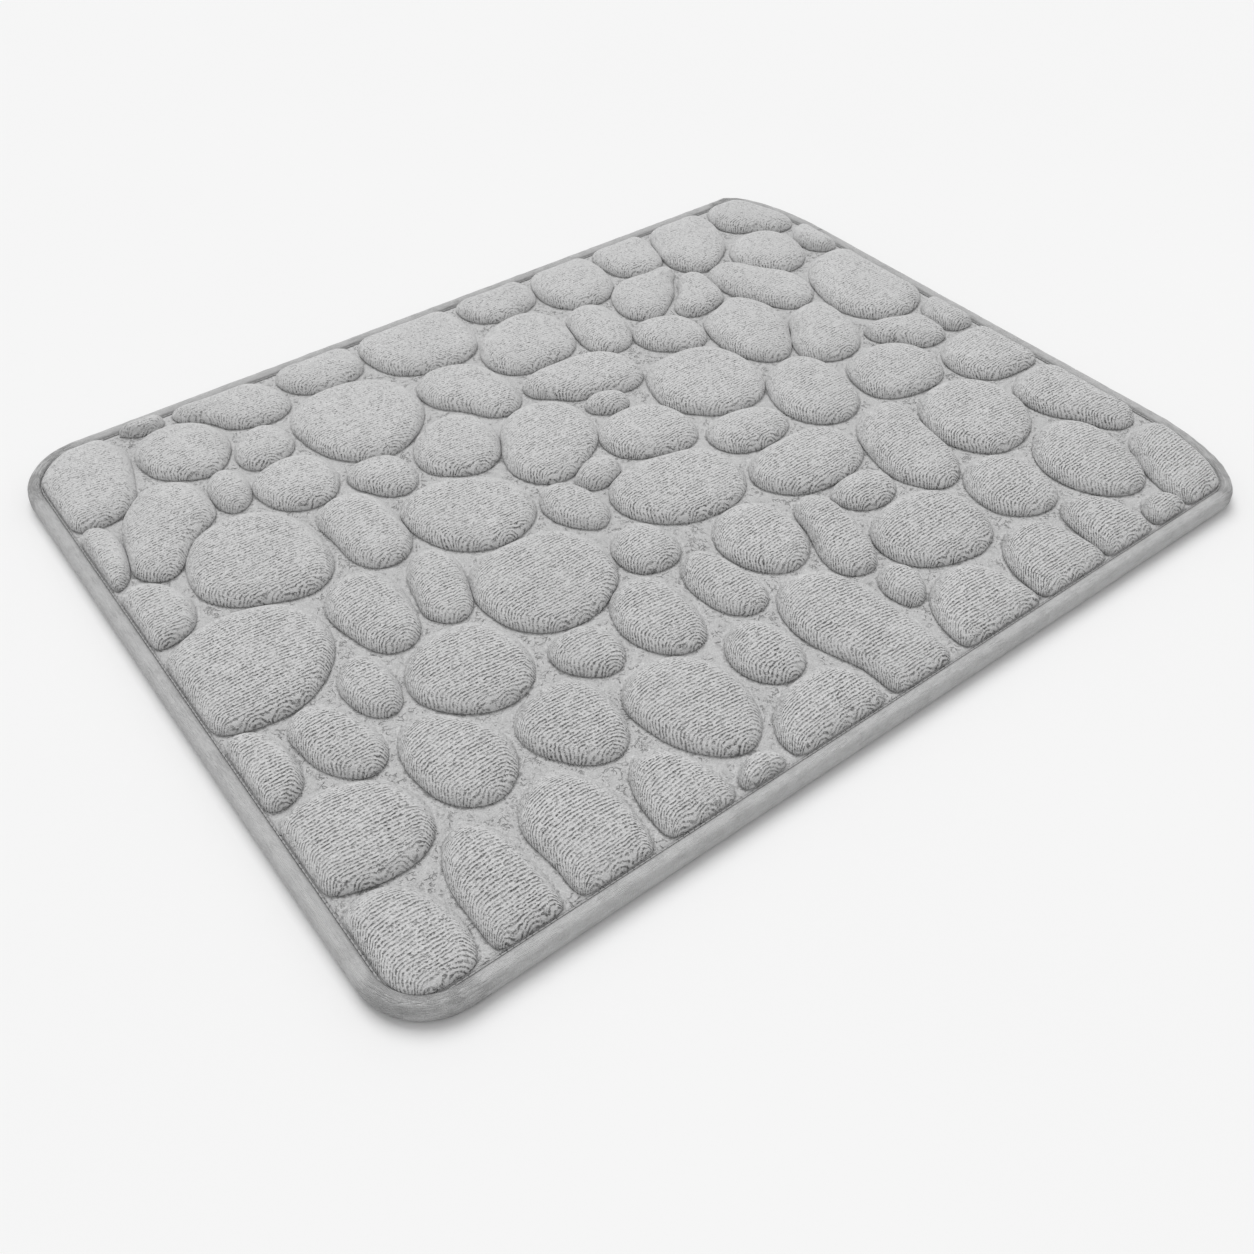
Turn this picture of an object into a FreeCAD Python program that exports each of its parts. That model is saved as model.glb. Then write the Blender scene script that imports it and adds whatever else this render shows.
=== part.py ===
import FreeCAD, Part
import math
import os

# Bath mat with a cobblestone face: a fleece skin over a memory foam core, cloth
# backing with grip dots, and a folded binding sewn on all the way round.
# Millimetres, +X along the long side, +Y along the short side, +Z up, floor at zero.

# ---- outer size ----
LENGTH = 600.0
WIDTH = 470.0
CORNER_RADIUS = 36.0

# ---- binding ----
BINDING_WIDTH = 8.5
BINDING_HEIGHT = 12.0
BINDING_OUTER_ROUND = 5.0
BINDING_INNER_ROUND = 2.5
BINDING_FOOT_ROUND = 2.0
BINDING_WALL = 3.0

# ---- layers, from the floor up ----
DOT_HEIGHT = 1.0
BACKING_THICKNESS = 1.0
FOAM_THICKNESS = 6.0
FLEECE_THICKNESS = 2.0
PEBBLE_HEIGHT = 8.5
BACKING_BOTTOM = DOT_HEIGHT
FOAM_BOTTOM = BACKING_BOTTOM + BACKING_THICKNESS
FLEECE_BOTTOM = FOAM_BOTTOM + FOAM_THICKNESS
GROUND = FLEECE_BOTTOM + FLEECE_THICKNESS

# ---- grip dots ----
DOT_BASE_RADIUS = 2.5
DOT_TIP_RADIUS = 1.8
DOT_PITCH = 16.0
DOT_ROW_PITCH = 14.0
DOT_MARGIN = 14.0

# ---- sewing ----
THREAD_RADIUS = 0.35
LABEL_LENGTH = 36.0
LABEL_WIDTH = 22.0
LABEL_THICKNESS = 0.4
LABEL_CENTRE_X = 170.0
LABEL_DOT_GAP = 2.0

# ---- pebbles ----
SEAM_MARGIN = 1.0       # ground left between a pebble and the binding
GROOVE = 1.2            # ground left between two pebbles
OUTLINE_STEP = 2.5      # spacing of the points along a finished outline
DRAWING_IN_PASSES = 6   # rounds of moving crowded outlines apart
SHOULDER = 9.5          # how far in from its foot a pebble's crown starts
WIDEST_SHOULDER = 0.6   # the same on a small pebble, as a share of its radius
RINGS = (0.0, 22.0, 44.0, 64.0, 80.0)   # dome angles in degrees, foot to crown

# Each row is one pebble: points around its foot, clockwise from the left, one row of
# pebbles after another from the back of the mat to the front.  Pebbles that reach the
# binding are cut off along it.
PEBBLES = (
    # against the back edge, left to right
    ((-293, 160), (-293, 190), (-290, 212), (-281, 222), (-268, 229), (-252, 229), (-243, 221),
     (-238, 208), (-239, 190), (-245, 170), (-252, 152), (-272, 144), (-288, 148)),
    ((-235, 226), (-226, 230), (-210, 230), (-204, 222), (-209, 215), (-220, 213), (-230, 218)),
    ((-200, 218), (-196, 228), (-170, 230), (-150, 226), (-137, 214), (-132, 200), (-134, 186),
     (-146, 178), (-162, 180), (-178, 190), (-185, 204)),
    ((-130, 208), (-126, 223), (-113, 229), (-90, 229), (-76, 222), (-73, 207), (-79, 192),
     (-96, 187), (-117, 190), (-127, 199)),
    ((-71, 200), (-68, 217), (-58, 228), (-30, 230), (-4, 228), (4, 216), (6, 198), (3, 182),
     (-8, 166), (-24, 162), (-45, 165), (-63, 176)),
    ((10, 213), (15, 225), (27, 229), (50, 229), (64, 224), (68, 211), (63, 196), (48, 189),
     (27, 189), (14, 198)),
    ((67, 196), (71, 212), (80, 225), (98, 229), (117, 228), (125, 216), (126, 198), (121, 182),
     (108, 168), (94, 167), (78, 171), (69, 184)),
    ((128, 200), (130, 218), (138, 228), (158, 229), (173, 227), (177, 213), (174, 196),
     (167, 182), (154, 177), (138, 181), (130, 189)),
    ((170, 176), (172, 188), (178, 205), (186, 220), (198, 228), (222, 228), (233, 219),
     (235, 205), (229, 187), (216, 168), (203, 160), (188, 154), (177, 160)),
    ((236, 197), (240, 215), (250, 226), (268, 228), (285, 221), (292, 205), (292, 187),
     (288, 172), (279, 165), (266, 168), (255, 178), (243, 184)),
    # second row
    ((-236, 184), (-233, 198), (-222, 209), (-204, 210), (-190, 203), (-182, 190), (-182, 174),
     (-189, 160), (-203, 150), (-219, 156), (-231, 166)),
    ((-187, 151), (-183, 164), (-174, 173), (-162, 176), (-152, 170), (-149, 156), (-153, 144),
     (-165, 138), (-178, 137), (-185, 142)),
    ((-146, 152), (-142, 170), (-130, 182), (-108, 186), (-85, 181), (-70, 168), (-65, 150),
     (-69, 130), (-84, 112), (-108, 102), (-128, 109), (-141, 126)),
    ((-64, 140), (-59, 155), (-46, 163), (-29, 160), (-15, 150), (-10, 133), (-9, 113),
     (-15, 99), (-29, 93), (-40, 99), (-47, 112), (-58, 123)),
    ((-9, 145), (-5, 163), (8, 177), (26, 185), (45, 185), (57, 175), (61, 158), (57, 140),
     (44, 126), (24, 124), (8, 124), (-5, 133)),
    ((56, 126), (58, 143), (64, 160), (76, 168), (88, 166), (96, 154), (97, 140), (92, 121),
     (80, 109), (68, 109), (58, 118)),
    ((101, 145), (105, 160), (115, 174), (132, 178), (152, 176), (166, 175), (167, 167),
     (158, 159), (150, 147), (142, 139), (135, 134), (124, 127), (109, 129)),
    ((133, 121), (137, 130), (146, 137), (154, 146), (162, 157), (170, 158), (177, 153),
     (179, 141), (176, 127), (172, 117), (163, 113), (150, 110), (137, 113)),
    ((178, 131), (183, 148), (197, 154), (208, 148), (216, 134), (228, 120), (233, 104),
     (230, 87), (216, 76), (204, 76), (193, 88), (185, 106), (179, 118)),
    ((212, 150), (217, 163), (230, 173), (248, 175), (261, 168), (267, 155), (266, 138),
     (257, 124), (243, 117), (230, 119), (219, 131)),
    ((268, 136), (271, 150), (279, 159), (290, 161), (296, 150), (295, 130), (288, 122),
     (276, 123)),
    # third row
    ((-293, 115), (-292, 138), (-281, 143), (-273, 135), (-272, 118), (-276, 100), (-283, 88),
     (-292, 85)),
    ((-276, 96), (-272, 112), (-268, 130), (-258, 148), (-246, 158), (-228, 157), (-217, 147),
     (-215, 130), (-219, 113), (-236, 102), (-249, 86), (-263, 78), (-273, 86)),
    ((-215, 122), (-213, 137), (-206, 147), (-197, 148), (-191, 140), (-191, 125), (-197, 113),
     (-207, 108), (-213, 114)),
    ((-192, 112), (-188, 128), (-176, 135), (-159, 136), (-147, 128), (-143, 113), (-147, 97),
     (-157, 87), (-175, 87), (-186, 95)),
    ((-143, 93), (-138, 103), (-124, 105), (-110, 100), (-105, 88), (-107, 73), (-117, 64),
     (-129, 67), (-138, 80)),
    ((-101, 80), (-96, 97), (-82, 110), (-66, 114), (-52, 108), (-45, 93), (-47, 75),
     (-58, 59), (-74, 54), (-90, 62), (-99, 71)),
    ((-7, 103), (-3, 115), (10, 120), (32, 120), (52, 117), (65, 108), (70, 92), (67, 76),
     (54, 68), (44, 69), (30, 77), (17, 78), (4, 91)),
    ((87, 107), (91, 120), (102, 126), (118, 123), (130, 115), (134, 101), (130, 86),
     (117, 79), (101, 86), (90, 96)),
    ((130, 68), (133, 88), (142, 103), (158, 108), (173, 113), (184, 101), (189, 86),
     (187, 70), (180, 56), (171, 46), (163, 37), (150, 34), (139, 42), (133, 54)),
    ((226, 60), (230, 80), (238, 98), (252, 112), (270, 118), (285, 115), (293, 103), (296, 80),
     (295, 55), (287, 36), (270, 25), (254, 24), (240, 31), (229, 45)),
    # fourth row
    ((-294, 55), (-292, 79), (-279, 83), (-267, 75), (-260, 60), (-261, 45), (-268, 34),
     (-282, 30), (-293, 32)),
    ((-255, 60), (-252, 78), (-242, 96), (-225, 104), (-205, 103), (-190, 93), (-181, 75),
     (-180, 52), (-186, 31), (-203, 21), (-222, 26), (-242, 36), (-253, 50)),
    ((-176, 62), (-172, 77), (-158, 84), (-143, 80), (-136, 66), (-135, 48), (-138, 28),
     (-148, 16), (-163, 15), (-174, 28), (-175, 45)),
    ((-136, 34), (-132, 51), (-120, 60), (-103, 60), (-82, 51), (-68, 38), (-64, 20),
     (-70, 2), (-86, -8), (-106, -8), (-124, 3), (-133, 20)),
    ((-60, 44), (-55, 60), (-46, 76), (-33, 89), (-15, 92), (0, 86), (9, 73), (9, 56),
     (0, 36), (-15, 26), (-35, 17), (-51, 22), (-58, 33)),
    ((13, 66), (18, 74), (29, 75), (40, 69), (43, 60), (37, 54), (24, 54), (16, 60)),
    ((-1, 27), (3, 40), (15, 49), (32, 51), (48, 46), (57, 33), (59, 17), (53, 3), (40, -3),
     (24, 1), (9, 7), (1, 16)),
    ((56, 42), (60, 60), (69, 75), (85, 81), (103, 81), (119, 75), (129, 60), (131, 43),
     (126, 24), (113, 10), (98, 7), (79, 11), (65, 23)),
    ((165, 28), (170, 43), (181, 58), (193, 70), (208, 73), (220, 70), (223, 55), (220, 38),
     (212, 21), (198, 11), (184, 10), (172, 16)),
    ((217, 14), (221, 26), (236, 27), (252, 20), (264, 16), (265, 2), (263, -11), (249, -16),
     (236, -11), (230, 0), (219, 8)),
    ((266, 6), (270, 17), (281, 26), (292, 24), (296, 8), (294, -10), (282, -14), (270, -12)),
    # fifth row
    ((-295, -10), (-292, 15), (-278, 27), (-258, 32), (-237, 29), (-219, 19), (-211, 2),
     (-213, -20), (-226, -38), (-248, -50), (-271, -49), (-292, -38)),
    ((-207, -3), (-201, 12), (-187, 20), (-172, 16), (-165, 2), (-166, -18), (-171, -37),
     (-182, -47), (-196, -43), (-203, -26)),
    ((-165, -28), (-160, -8), (-152, 8), (-140, 13), (-131, 6), (-128, -6), (-132, -21),
     (-139, -39), (-150, -47), (-160, -42)),
    ((-66, -4), (-62, 10), (-53, 17), (-42, 14), (-35, 2), (-33, -12), (-38, -27), (-48, -32),
     (-57, -24), (-64, -14)),
    ((-36, 12), (-28, 18), (-13, 23), (-4, 17), (-4, 8), (-12, 0), (-22, -3), (-31, -1)),
    ((-30, -28), (-26, -10), (-14, 0), (6, 2), (28, -3), (45, -10), (52, -25), (50, -43),
     (39, -57), (15, -62), (-5, -58), (-20, -47)),
    ((54, -11), (58, 1), (68, 7), (84, 7), (100, 2), (109, -9), (107, -22), (95, -29),
     (74, -31), (59, -24)),
    ((112, -12), (116, 5), (127, 22), (143, 30), (158, 30), (167, 20), (171, 5), (168, -14),
     (160, -31), (143, -41), (128, -39), (116, -27)),
    ((169, -26), (173, -9), (182, 3), (198, 7), (215, 5), (228, -4), (234, -18), (232, -34),
     (222, -46), (200, -49), (185, -46), (172, -37)),
    ((233, -47), (238, -31), (250, -21), (269, -18), (286, -21), (295, -33), (295, -53),
     (288, -69), (265, -72), (246, -68), (236, -57)),
    # sixth row
    ((-294, -75), (-292, -52), (-279, -49), (-269, -58), (-265, -74), (-267, -91),
     (-278, -101), (-292, -99)),
    ((-262, -70), (-258, -57), (-247, -52), (-236, -59), (-229, -73), (-225, -88),
     (-228, -103), (-239, -110), (-252, -102), (-260, -86)),
    ((-228, -57), (-223, -43), (-211, -36), (-203, -42), (-200, -55), (-203, -73),
     (-212, -83), (-222, -78)),
    ((-200, -78), (-195, -62), (-183, -51), (-165, -48), (-150, -51), (-140, -63),
     (-136, -80), (-140, -99), (-155, -111), (-178, -108), (-193, -95)),
    ((-138, -46), (-134, -27), (-122, -14), (-100, -12), (-79, -14), (-65, -24), (-58, -42),
     (-61, -64), (-76, -80), (-98, -87), (-118, -83), (-134, -66)),
    ((-58, -62), (-54, -49), (-44, -41), (-31, -41), (-22, -51), (-20, -65), (-27, -78),
     (-45, -80), (-55, -74)),
    ((49, -58), (54, -44), (67, -35), (88, -33), (108, -34), (122, -42), (127, -55),
     (123, -71), (108, -81), (80, -83), (63, -78), (52, -66)),
    ((119, -97), (123, -78), (131, -59), (144, -47), (161, -43), (173, -47), (175, -62),
     (170, -82), (166, -104), (156, -120), (139, -127), (128, -120), (121, -107)),
    ((170, -96), (173, -77), (184, -60), (202, -52), (222, -54), (235, -64), (241, -82),
     (238, -101), (225, -117), (202, -125), (186, -122), (174, -108)),
    ((241, -101), (246, -86), (258, -78), (276, -76), (289, -83), (296, -100), (295, -125),
     (288, -146), (275, -155), (262, -149), (255, -132), (245, -118)),
    # seventh row
    ((-294, -130), (-291, -110), (-274, -104), (-255, -106), (-240, -114), (-231, -129),
     (-230, -147), (-240, -161), (-260, -165), (-279, -161), (-292, -154)),
    ((-226, -122), (-223, -104), (-213, -92), (-200, -93), (-189, -104), (-179, -118),
     (-178, -136), (-187, -152), (-201, -158), (-216, -151), (-224, -137)),
    ((-131, -101), (-126, -91), (-114, -88), (-101, -91), (-94, -103), (-97, -119),
     (-109, -127), (-121, -121), (-130, -109)),
    ((-90, -108), (-85, -90), (-75, -79), (-60, -77), (-49, -85), (-46, -103), (-49, -123),
     (-60, -138), (-74, -137), (-86, -124)),
    ((-40, -108), (-36, -90), (-25, -80), (-14, -84), (-9, -100), (-6, -117), (-11, -134),
     (-23, -138), (-34, -131), (-39, -120)),
    ((-7, -92), (-3, -78), (8, -67), (23, -64), (36, -69), (44, -82), (43, -101), (33, -119),
     (17, -125), (3, -118), (-5, -104)),
    ((33, -138), (37, -121), (44, -106), (49, -89), (60, -82), (70, -87), (73, -102),
     (70, -121), (63, -140), (53, -151), (41, -150)),
    ((76, -102), (77, -90), (88, -85), (104, -85), (115, -92), (116, -104), (107, -113),
     (92, -115), (80, -109)),
    ((65, -145), (69, -132), (83, -121), (104, -117), (122, -121), (134, -134), (136, -150),
     (130, -168), (113, -178), (95, -176), (76, -168), (67, -156)),
    ((142, -150), (145, -136), (154, -125), (170, -120), (184, -125), (191, -139),
     (191, -158), (182, -173), (166, -177), (150, -169), (143, -160)),
    ((195, -157), (200, -142), (213, -129), (232, -123), (246, -128), (254, -144),
     (252, -166), (244, -186), (228, -198), (211, -193), (199, -178)),
    # eighth row
    ((-173, -138), (-168, -122), (-154, -114), (-138, -114), (-126, -121), (-122, -137),
     (-126, -158), (-138, -171), (-150, -170), (-165, -156)),
    ((-121, -158), (-117, -142), (-104, -133), (-86, -133), (-72, -143), (-64, -159),
     (-65, -181), (-75, -200), (-90, -207), (-104, -199), (-117, -179)),
    ((-59, -163), (-55, -149), (-43, -139), (-31, -140), (-23, -151), (-21, -168),
     (-29, -182), (-44, -185), (-56, -174)),
    ((42, -172), (46, -160), (56, -154), (65, -159), (67, -171), (60, -182), (48, -187)),
    # against the front edge, left to right
    ((-294, -188), (-290, -170), (-275, -165), (-261, -171), (-252, -186), (-249, -204),
     (-254, -222), (-268, -230), (-284, -221), (-294, -204)),
    ((-245, -192), (-241, -174), (-231, -161), (-219, -160), (-211, -172), (-208, -190),
     (-208, -210), (-212, -227), (-228, -230), (-243, -227), (-245, -210)),
    ((-203, -187), (-198, -170), (-185, -160), (-171, -161), (-161, -173), (-155, -190),
     (-156, -208), (-162, -226), (-180, -230), (-199, -228), (-201, -206)),
    ((-151, -204), (-146, -187), (-136, -177), (-124, -180), (-114, -193), (-110, -209),
     (-113, -226), (-131, -230), (-149, -228)),
    ((-107, -222), (-101, -213), (-91, -210), (-82, -215), (-79, -225), (-92, -229),
     (-106, -228)),
    ((-74, -215), (-69, -202), (-57, -192), (-39, -187), (-22, -190), (-12, -201),
     (-11, -216), (-16, -228), (-44, -230), (-70, -227)),
    ((-17, -161), (-13, -145), (-4, -133), (9, -129), (23, -133), (33, -147), (37, -165),
     (38, -190), (38, -210), (33, -226), (14, -230), (-4, -228), (-6, -206), (-13, -183)),
    ((46, -217), (50, -199), (59, -186), (74, -178), (90, -178), (101, -189), (105, -205),
     (104, -226), (75, -230), (47, -228)),
    ((109, -212), (113, -195), (123, -182), (138, -175), (152, -178), (160, -191),
     (162, -206), (159, -227), (133, -230), (109, -228)),
    ((165, -212), (167, -195), (173, -182), (185, -178), (197, -185), (205, -199),
     (205, -214), (201, -227), (183, -230), (164, -228)),
    ((207, -222), (211, -211), (220, -205), (230, -208), (235, -217), (234, -227),
     (220, -229), (208, -228)),
    ((237, -215), (241, -194), (249, -179), (259, -166), (273, -160), (287, -162),
     (293, -178), (291, -199), (280, -217), (264, -227), (240, -229)),
)


# ---- outlines ----

def smooth_loop(corners):
    """Closed spline through the given (x, y) points."""
    curve = Part.BSplineCurve()
    curve.interpolate(Points=[FreeCAD.Vector(x, y, 0) for x, y in corners], PeriodicFlag=True)
    return curve


def evenly_spaced(corners, step):
    """Points at about the given step along the smooth loop through the corners."""
    edge = smooth_loop(corners).toShape()
    count = max(16, round(edge.Length / step))
    return [(p.x, p.y) for p in edge.discretize(Number=count + 1)[:-1]]


def inside_seam(point):
    """Nearest place to a point that is clear of the binding."""
    inset = BINDING_WIDTH + SEAM_MARGIN
    half_x = LENGTH / 2 - inset
    half_y = WIDTH / 2 - inset
    radius = CORNER_RADIUS - inset
    x, y = point
    x = max(-half_x, min(half_x, x))
    y = max(-half_y, min(half_y, y))
    over_x = abs(x) - (half_x - radius)
    over_y = abs(y) - (half_y - radius)
    reach = math.hypot(over_x, over_y)
    if over_x > 0 and over_y > 0 and reach > radius:
        x = math.copysign(half_x - radius + over_x * radius / reach, x)
        y = math.copysign(half_y - radius + over_y * radius / reach, y)
    return x, y


def softened(points):
    """Each point moved half way to the middle of its two neighbours."""
    count = len(points)
    return [tuple((points[i - 1][k] + 2 * points[i][k] + points[(i + 1) % count][k]) / 4 for k in (0, 1))
            for i in range(count)]


def centre_of(points):
    return tuple(sum(p[k] for p in points) / len(points) for k in (0, 1))


def mean_radius(loop):
    centre = centre_of(loop)
    return sum(math.dist(p, centre) for p in loop) / len(loop)


def encloses(loop, point):
    """True if the point is inside the closed loop of points."""
    x, y = point
    inside = False
    for (x0, y0), (x1, y1) in zip(loop, loop[1:] + loop[:1]):
        if (y0 > y) != (y1 > y) and x < x0 + (y - y0) * (x1 - x0) / (y1 - y0):
            inside = not inside
    return inside


def gap_to(loop, point):
    """Distance from a point to a loop's nearest point, negative inside the loop."""
    gap = min(math.hypot(point[0] - x, point[1] - y) for x, y in loop)
    return -gap if encloses(loop, point) else gap


def drawn_in(loop, neighbours):
    """The loop with every point that crowds a neighbour moved towards its own centre."""
    centre = centre_of(loop)
    moved = []
    for point in loop:
        lack = GROOVE - min([gap_to(other, point) for other in neighbours] or [GROOVE])
        if lack > 0:
            reach = math.hypot(point[0] - centre[0], point[1] - centre[1])
            share = 1 - lack / 2 / reach
            point = tuple(centre[k] + (point[k] - centre[k]) * share for k in (0, 1))
        moved.append(point)
    return moved


def reach_of(loop):
    """Largest distance from a loop's centre to its points."""
    centre = centre_of(loop)
    return max(math.hypot(x - centre[0], y - centre[1]) for x, y in loop)


def pebble_outlines():
    """Final outlines on the ground: clear of the binding and of each other."""
    loops = [softened([inside_seam(p) for p in evenly_spaced(corners, OUTLINE_STEP)])
             for corners in PEBBLES]
    centres = [centre_of(loop) for loop in loops]
    reaches = [reach_of(loop) for loop in loops]
    near = [[j for j in range(len(loops)) if j != i and math.dist(centres[i], centres[j])
             < reaches[i] + reaches[j] + GROOVE] for i in range(len(loops))]
    for _ in range(DRAWING_IN_PASSES):
        loops = [drawn_in(loop, [loops[j] for j in near[i]]) for i, loop in enumerate(loops)]
    return [evenly_spaced(softened(softened(loop)), 2 * OUTLINE_STEP) for loop in loops]


# ---- solids ----

def rounded_slab(inset, bottom, top):
    """Plate with the mat's outline moved in by the inset."""
    x = LENGTH / 2 - inset
    y = WIDTH / 2 - inset
    plate = Part.makeBox(2 * x, 2 * y, top - bottom, FreeCAD.Vector(-x, -y, bottom))
    uprights = [e for e in plate.Edges if abs(e.tangentAt(e.FirstParameter).z) > 0.5]
    return plate.makeFillet(CORNER_RADIUS - inset, uprights)


def edges_at(shape, inset, height):
    """Level edges of a slab-like shape at one inset and height."""
    edges = []
    for edge in shape.Edges:
        box = edge.BoundBox
        middle = edge.valueAt((edge.FirstParameter + edge.LastParameter) / 2)
        across = max(abs(middle.x) - LENGTH / 2, abs(middle.y) - WIDTH / 2)
        corner = math.hypot(max(0, abs(middle.x) - LENGTH / 2 + CORNER_RADIUS),
                            max(0, abs(middle.y) - WIDTH / 2 + CORNER_RADIUS)) - CORNER_RADIUS
        if box.ZLength < 0.01 and abs(middle.z - height) < 0.01 and (
                abs(across + inset) < 0.1 or abs(corner + inset) < 0.1):
            edges.append(edge)
    return edges


def dome(outline, foot, height, scale):
    """Pillow-shaped boss on an outline scaled about its centre, with a flat crown."""
    cx, cy = centre_of(outline)
    shoulder = min(SHOULDER / mean_radius(outline), WIDEST_SHOULDER)
    full_rise = math.sin(math.radians(RINGS[-1]))
    wires = []
    for angle in RINGS:
        turn = math.radians(angle)
        share = scale * (1 - shoulder * (1 - math.cos(turn)))
        ring = smooth_loop([(cx + (x - cx) * share, cy + (y - cy) * share) for x, y in outline]).toShape()
        ring.translate(FreeCAD.Vector(0, 0, foot + height * math.sin(turn) / full_rise))
        wires.append(Part.Wire(ring))
    return Part.makeLoft(wires, True, False)


def foam_domes(outlines):
    """The foam's bosses: the pebbles less the fleece that covers them."""
    return [dome(outline, FLEECE_BOTTOM, PEBBLE_HEIGHT, 1 - FLEECE_THICKNESS / mean_radius(outline))
            for outline in outlines]


def fleece_face(outlines, cores):
    skin = rounded_slab(BINDING_WALL, FLEECE_BOTTOM, GROUND)
    skin = skin.fuse([dome(outline, GROUND, PEBBLE_HEIGHT, 1.0) for outline in outlines])
    return skin.cut(cores)


def foam_core(cores):
    return rounded_slab(BINDING_WALL, FOAM_BOTTOM, FLEECE_BOTTOM).fuse(cores)


def backing_cloth():
    return rounded_slab(BINDING_WALL, BACKING_BOTTOM, FOAM_BOTTOM)


def edge_binding():
    """Folded strip round the edge, open on its inner side for the layers it holds."""
    ring = rounded_slab(0, 0, BINDING_HEIGHT).cut(rounded_slab(BINDING_WIDTH, 0, BINDING_HEIGHT))
    ring = ring.makeFillet(BINDING_OUTER_ROUND, edges_at(ring, 0, BINDING_HEIGHT))
    ring = ring.makeFillet(BINDING_FOOT_ROUND, edges_at(ring, 0, 0))
    ring = ring.makeFillet(BINDING_INNER_ROUND, edges_at(ring, BINDING_WIDTH, BINDING_HEIGHT))
    return ring.cut(rounded_slab(BINDING_WALL, BACKING_BOTTOM, GROUND))


def thread_ring(height):
    """Sewing thread running round against the binding's inner edge."""
    inset = BINDING_WIDTH + THREAD_RADIUS
    path = Part.Wire(Part.__sortEdges__(edges_at(rounded_slab(inset, height, height + 1), inset, height)))
    start = path.Edges[0].valueAt(path.Edges[0].FirstParameter)
    heading = path.Edges[0].tangentAt(path.Edges[0].FirstParameter)
    section = Part.Wire(Part.makeCircle(THREAD_RADIUS, start, heading))
    return path.makePipeShell([section], True, True)


def label_box():
    """Low and high corners of the care label, under the backing at the back edge."""
    inner_edge = WIDTH / 2 - BINDING_WIDTH - 2 * THREAD_RADIUS
    low = (LABEL_CENTRE_X - LABEL_WIDTH / 2, inner_edge - LABEL_LENGTH)
    return low, (low[0] + LABEL_WIDTH, inner_edge)


def care_label():
    (x, y), _ = label_box()
    return Part.makeBox(LABEL_WIDTH, LABEL_LENGTH, LABEL_THICKNESS,
                        FreeCAD.Vector(x, y, BACKING_BOTTOM - LABEL_THICKNESS))


def under_label(x, y):
    (x0, y0), (x1, y1) = label_box()
    room = DOT_BASE_RADIUS + LABEL_DOT_GAP
    return x0 - room < x < x1 + room and y0 - room < y < y1 + room


def in_dot_field(x, y):
    """True if a dot here is clear of the binding, in the corners too."""
    half_x = LENGTH / 2 - DOT_MARGIN
    half_y = WIDTH / 2 - DOT_MARGIN
    radius = CORNER_RADIUS - DOT_MARGIN
    over_x = max(0, abs(x) - half_x + radius)
    over_y = max(0, abs(y) - half_y + radius)
    return abs(x) <= half_x and abs(y) <= half_y and math.hypot(over_x, over_y) <= radius


def grip_dots():
    """Small blunt cones in staggered rows over the underside."""
    dots = []
    rows = int(WIDTH / 2 / DOT_ROW_PITCH)
    columns = int(LENGTH / 2 / DOT_PITCH) + 1
    for row in range(-rows, rows + 1):
        for column in range(-columns, columns + 1):
            x = (column + (row % 2) / 2) * DOT_PITCH
            y = row * DOT_ROW_PITCH
            if in_dot_field(x, y) and not under_label(x, y):
                dots.append(Part.makeCone(DOT_TIP_RADIUS, DOT_BASE_RADIUS, DOT_HEIGHT,
                                          FreeCAD.Vector(x, y, 0)))
    return Part.makeCompound(dots)


def main():
    os.makedirs("parts", exist_ok=True)
    outlines = pebble_outlines()
    cores = foam_domes(outlines)
    parts = {
        "fleece_face": fleece_face(outlines, cores),
        "memory_foam_core": foam_core(cores),
        "backing_cloth": backing_cloth(),
        "grip_dots": grip_dots(),
        "edge_binding": edge_binding(),
        "needle_thread": thread_ring(GROUND + THREAD_RADIUS),
        "bobbin_thread": thread_ring(BACKING_BOTTOM - THREAD_RADIUS),
        "care_label": care_label(),
    }
    for node, shape in parts.items():
        shape.exportStep("parts/" + node + ".step")
        print(node, "valid", shape.isValid(), "solids", len(shape.Solids), "faces", len(shape.Faces))


main()
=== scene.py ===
import math

import bpy
import numpy as np
from mathutils import Matrix, Vector, geometry, kdtree, noise


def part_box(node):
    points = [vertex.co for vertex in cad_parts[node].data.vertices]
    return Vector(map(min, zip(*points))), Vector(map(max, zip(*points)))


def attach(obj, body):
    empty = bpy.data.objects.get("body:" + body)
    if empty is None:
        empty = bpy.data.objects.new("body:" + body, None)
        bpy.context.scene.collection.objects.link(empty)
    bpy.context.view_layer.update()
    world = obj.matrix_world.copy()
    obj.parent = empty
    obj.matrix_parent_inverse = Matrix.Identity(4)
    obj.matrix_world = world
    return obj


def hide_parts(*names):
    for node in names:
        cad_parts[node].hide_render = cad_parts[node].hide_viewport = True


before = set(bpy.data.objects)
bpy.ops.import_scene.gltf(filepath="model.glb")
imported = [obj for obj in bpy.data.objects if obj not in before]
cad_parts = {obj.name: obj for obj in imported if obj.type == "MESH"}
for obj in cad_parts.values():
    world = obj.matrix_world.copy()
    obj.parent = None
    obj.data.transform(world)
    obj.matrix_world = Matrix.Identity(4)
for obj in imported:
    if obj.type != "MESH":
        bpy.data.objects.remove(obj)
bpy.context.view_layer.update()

# Bath mat with a cobblestone fleece face.  The stones' outlines come from the packed
# fleece_face node; everything else is placed from the nodes' boxes.  Metres throughout.

MM = 0.001

TOUCHING = 0.001 * MM        # heights closer than this are one level
SAME_PLACE = 1e-9            # points closer than this are one in a triangulation

# ---- spacing of the points ----
OUTLINE_SPACING = 2.4 * MM   # round a stone
GROUND_SPACING = 2.6 * MM    # over the ground between the stones
EDGE_SPACING = 3 * MM        # round the fleece's own edge
HIDDEN_SPACING = 6 * MM      # round what is out of sight
COARSE_GROUND_SPACING = 14 * MM
BINDING_SPACING = 2.5 * MM   # along the binding
SEAM_SPACING = 1 * MM        # round the seam line when distances to it are measured

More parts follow.
